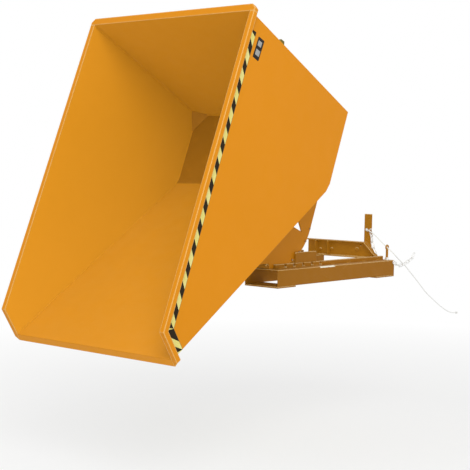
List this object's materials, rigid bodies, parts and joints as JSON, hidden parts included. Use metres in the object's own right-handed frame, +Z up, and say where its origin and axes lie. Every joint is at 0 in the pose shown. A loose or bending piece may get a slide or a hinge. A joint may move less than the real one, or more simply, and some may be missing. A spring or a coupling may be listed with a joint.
{
  "type": "self dumping hopper",
  "caption": "Forklift self dumping hopper tipped forward on its rocker webs, with fork pockets, notched guide bars, release lever, rope and chains.",
  "frame": {"origin": "midway between the two fork pockets, at their rear mouths, on the underside of their top plates", "axes": "+Z up, -Y the way the load is dumped, +X the side with the eye bolt and the safety chain"},
  "size_m": [1.07, 2.8707, 1.6193],
  "materials": {
    "bin_paint": "satin paint, scuffed",
    "base_paint": "satin paint, worn",
    "dark_olive_paint": "dull paint",
    "worn_steel": "paint rubbed to steel",
    "zinc_steel": "zinc plated",
    "rope": "braided"
  },
  "bodies": {
    "base": {"fork_pocket_left": "base_paint", "fork_pocket_right": "base_paint", "strap_front_left": "base_paint", "strap_front_right": "base_paint", "strap_rear_left": "base_paint", "strap_rear_right": "base_paint", "guide_bar_left": "base_paint", "guide_bar_right": "base_paint", "guide_plate_left": "base_paint", "guide_plate_right": "base_paint", "front_stop_bar": "base_paint", "cross_member": "base_paint", "cross_member_ribs": "base_paint", "cross_member_bolts": "base_paint", "lever_pivot_bolt": "base_paint", "eye_bolt": "base_paint", "eye_bolt_nut": "zinc_steel", "release_rope_tight": "rope", "release_rope_trailing": "rope", "rope_end_knot": "rope", "lever_chain": "zinc_steel", "safety_chain": "zinc_steel"},
    "roll_axle": {"roll_tube": "bin_paint"},
    "bin": {"floor_sheet": "bin_paint", "rear_wall": "bin_paint", "rim_rear": "bin_paint", "rear_lug": "dark_olive_paint", "side_panel_left": "bin_paint", "side_panel_right": "bin_paint", "rim_left": "bin_paint", "rim_right": "bin_paint", "corner_gusset_left": "bin_paint", "corner_gusset_right": "bin_paint", "rocker_web_left": "bin_paint", "rocker_web_right": "bin_paint", "rocker_pegs_left": "worn_steel", "rocker_pegs_right": "worn_steel"},
    "lever": {"release_lever": "base_paint", "rope_knot": "rope"}
  },
  "joints": [
    {"name": "roll_travel", "type": "slide", "parent": "base", "child": "roll_axle", "axis": [0, 1, 0], "range_m": [0, 0.359]},
    {"name": "bin_tip", "type": "hinge", "parent": "roll_axle", "child": "bin", "pos_m": [0, -0.9863, 0.304], "axis": [-1, 0, 0], "range_deg": [0, 68.45]},
    {"name": "lever_pull", "type": "hinge", "parent": "base", "child": "lever", "pos_m": [0.1089, -0.0067, 0.0532], "axis": [0, 1, 0], "range_deg": [0, 20], "stiffness_Nm_per_rad": 6, "springref_deg": -11.46, "deforming": ["release_rope_tight", "lever_chain"]}
  ],
  "couplings": [
    {"joint": "roll_travel", "follows": "bin_tip", "m_per_rad": 0.3}
  ]
}
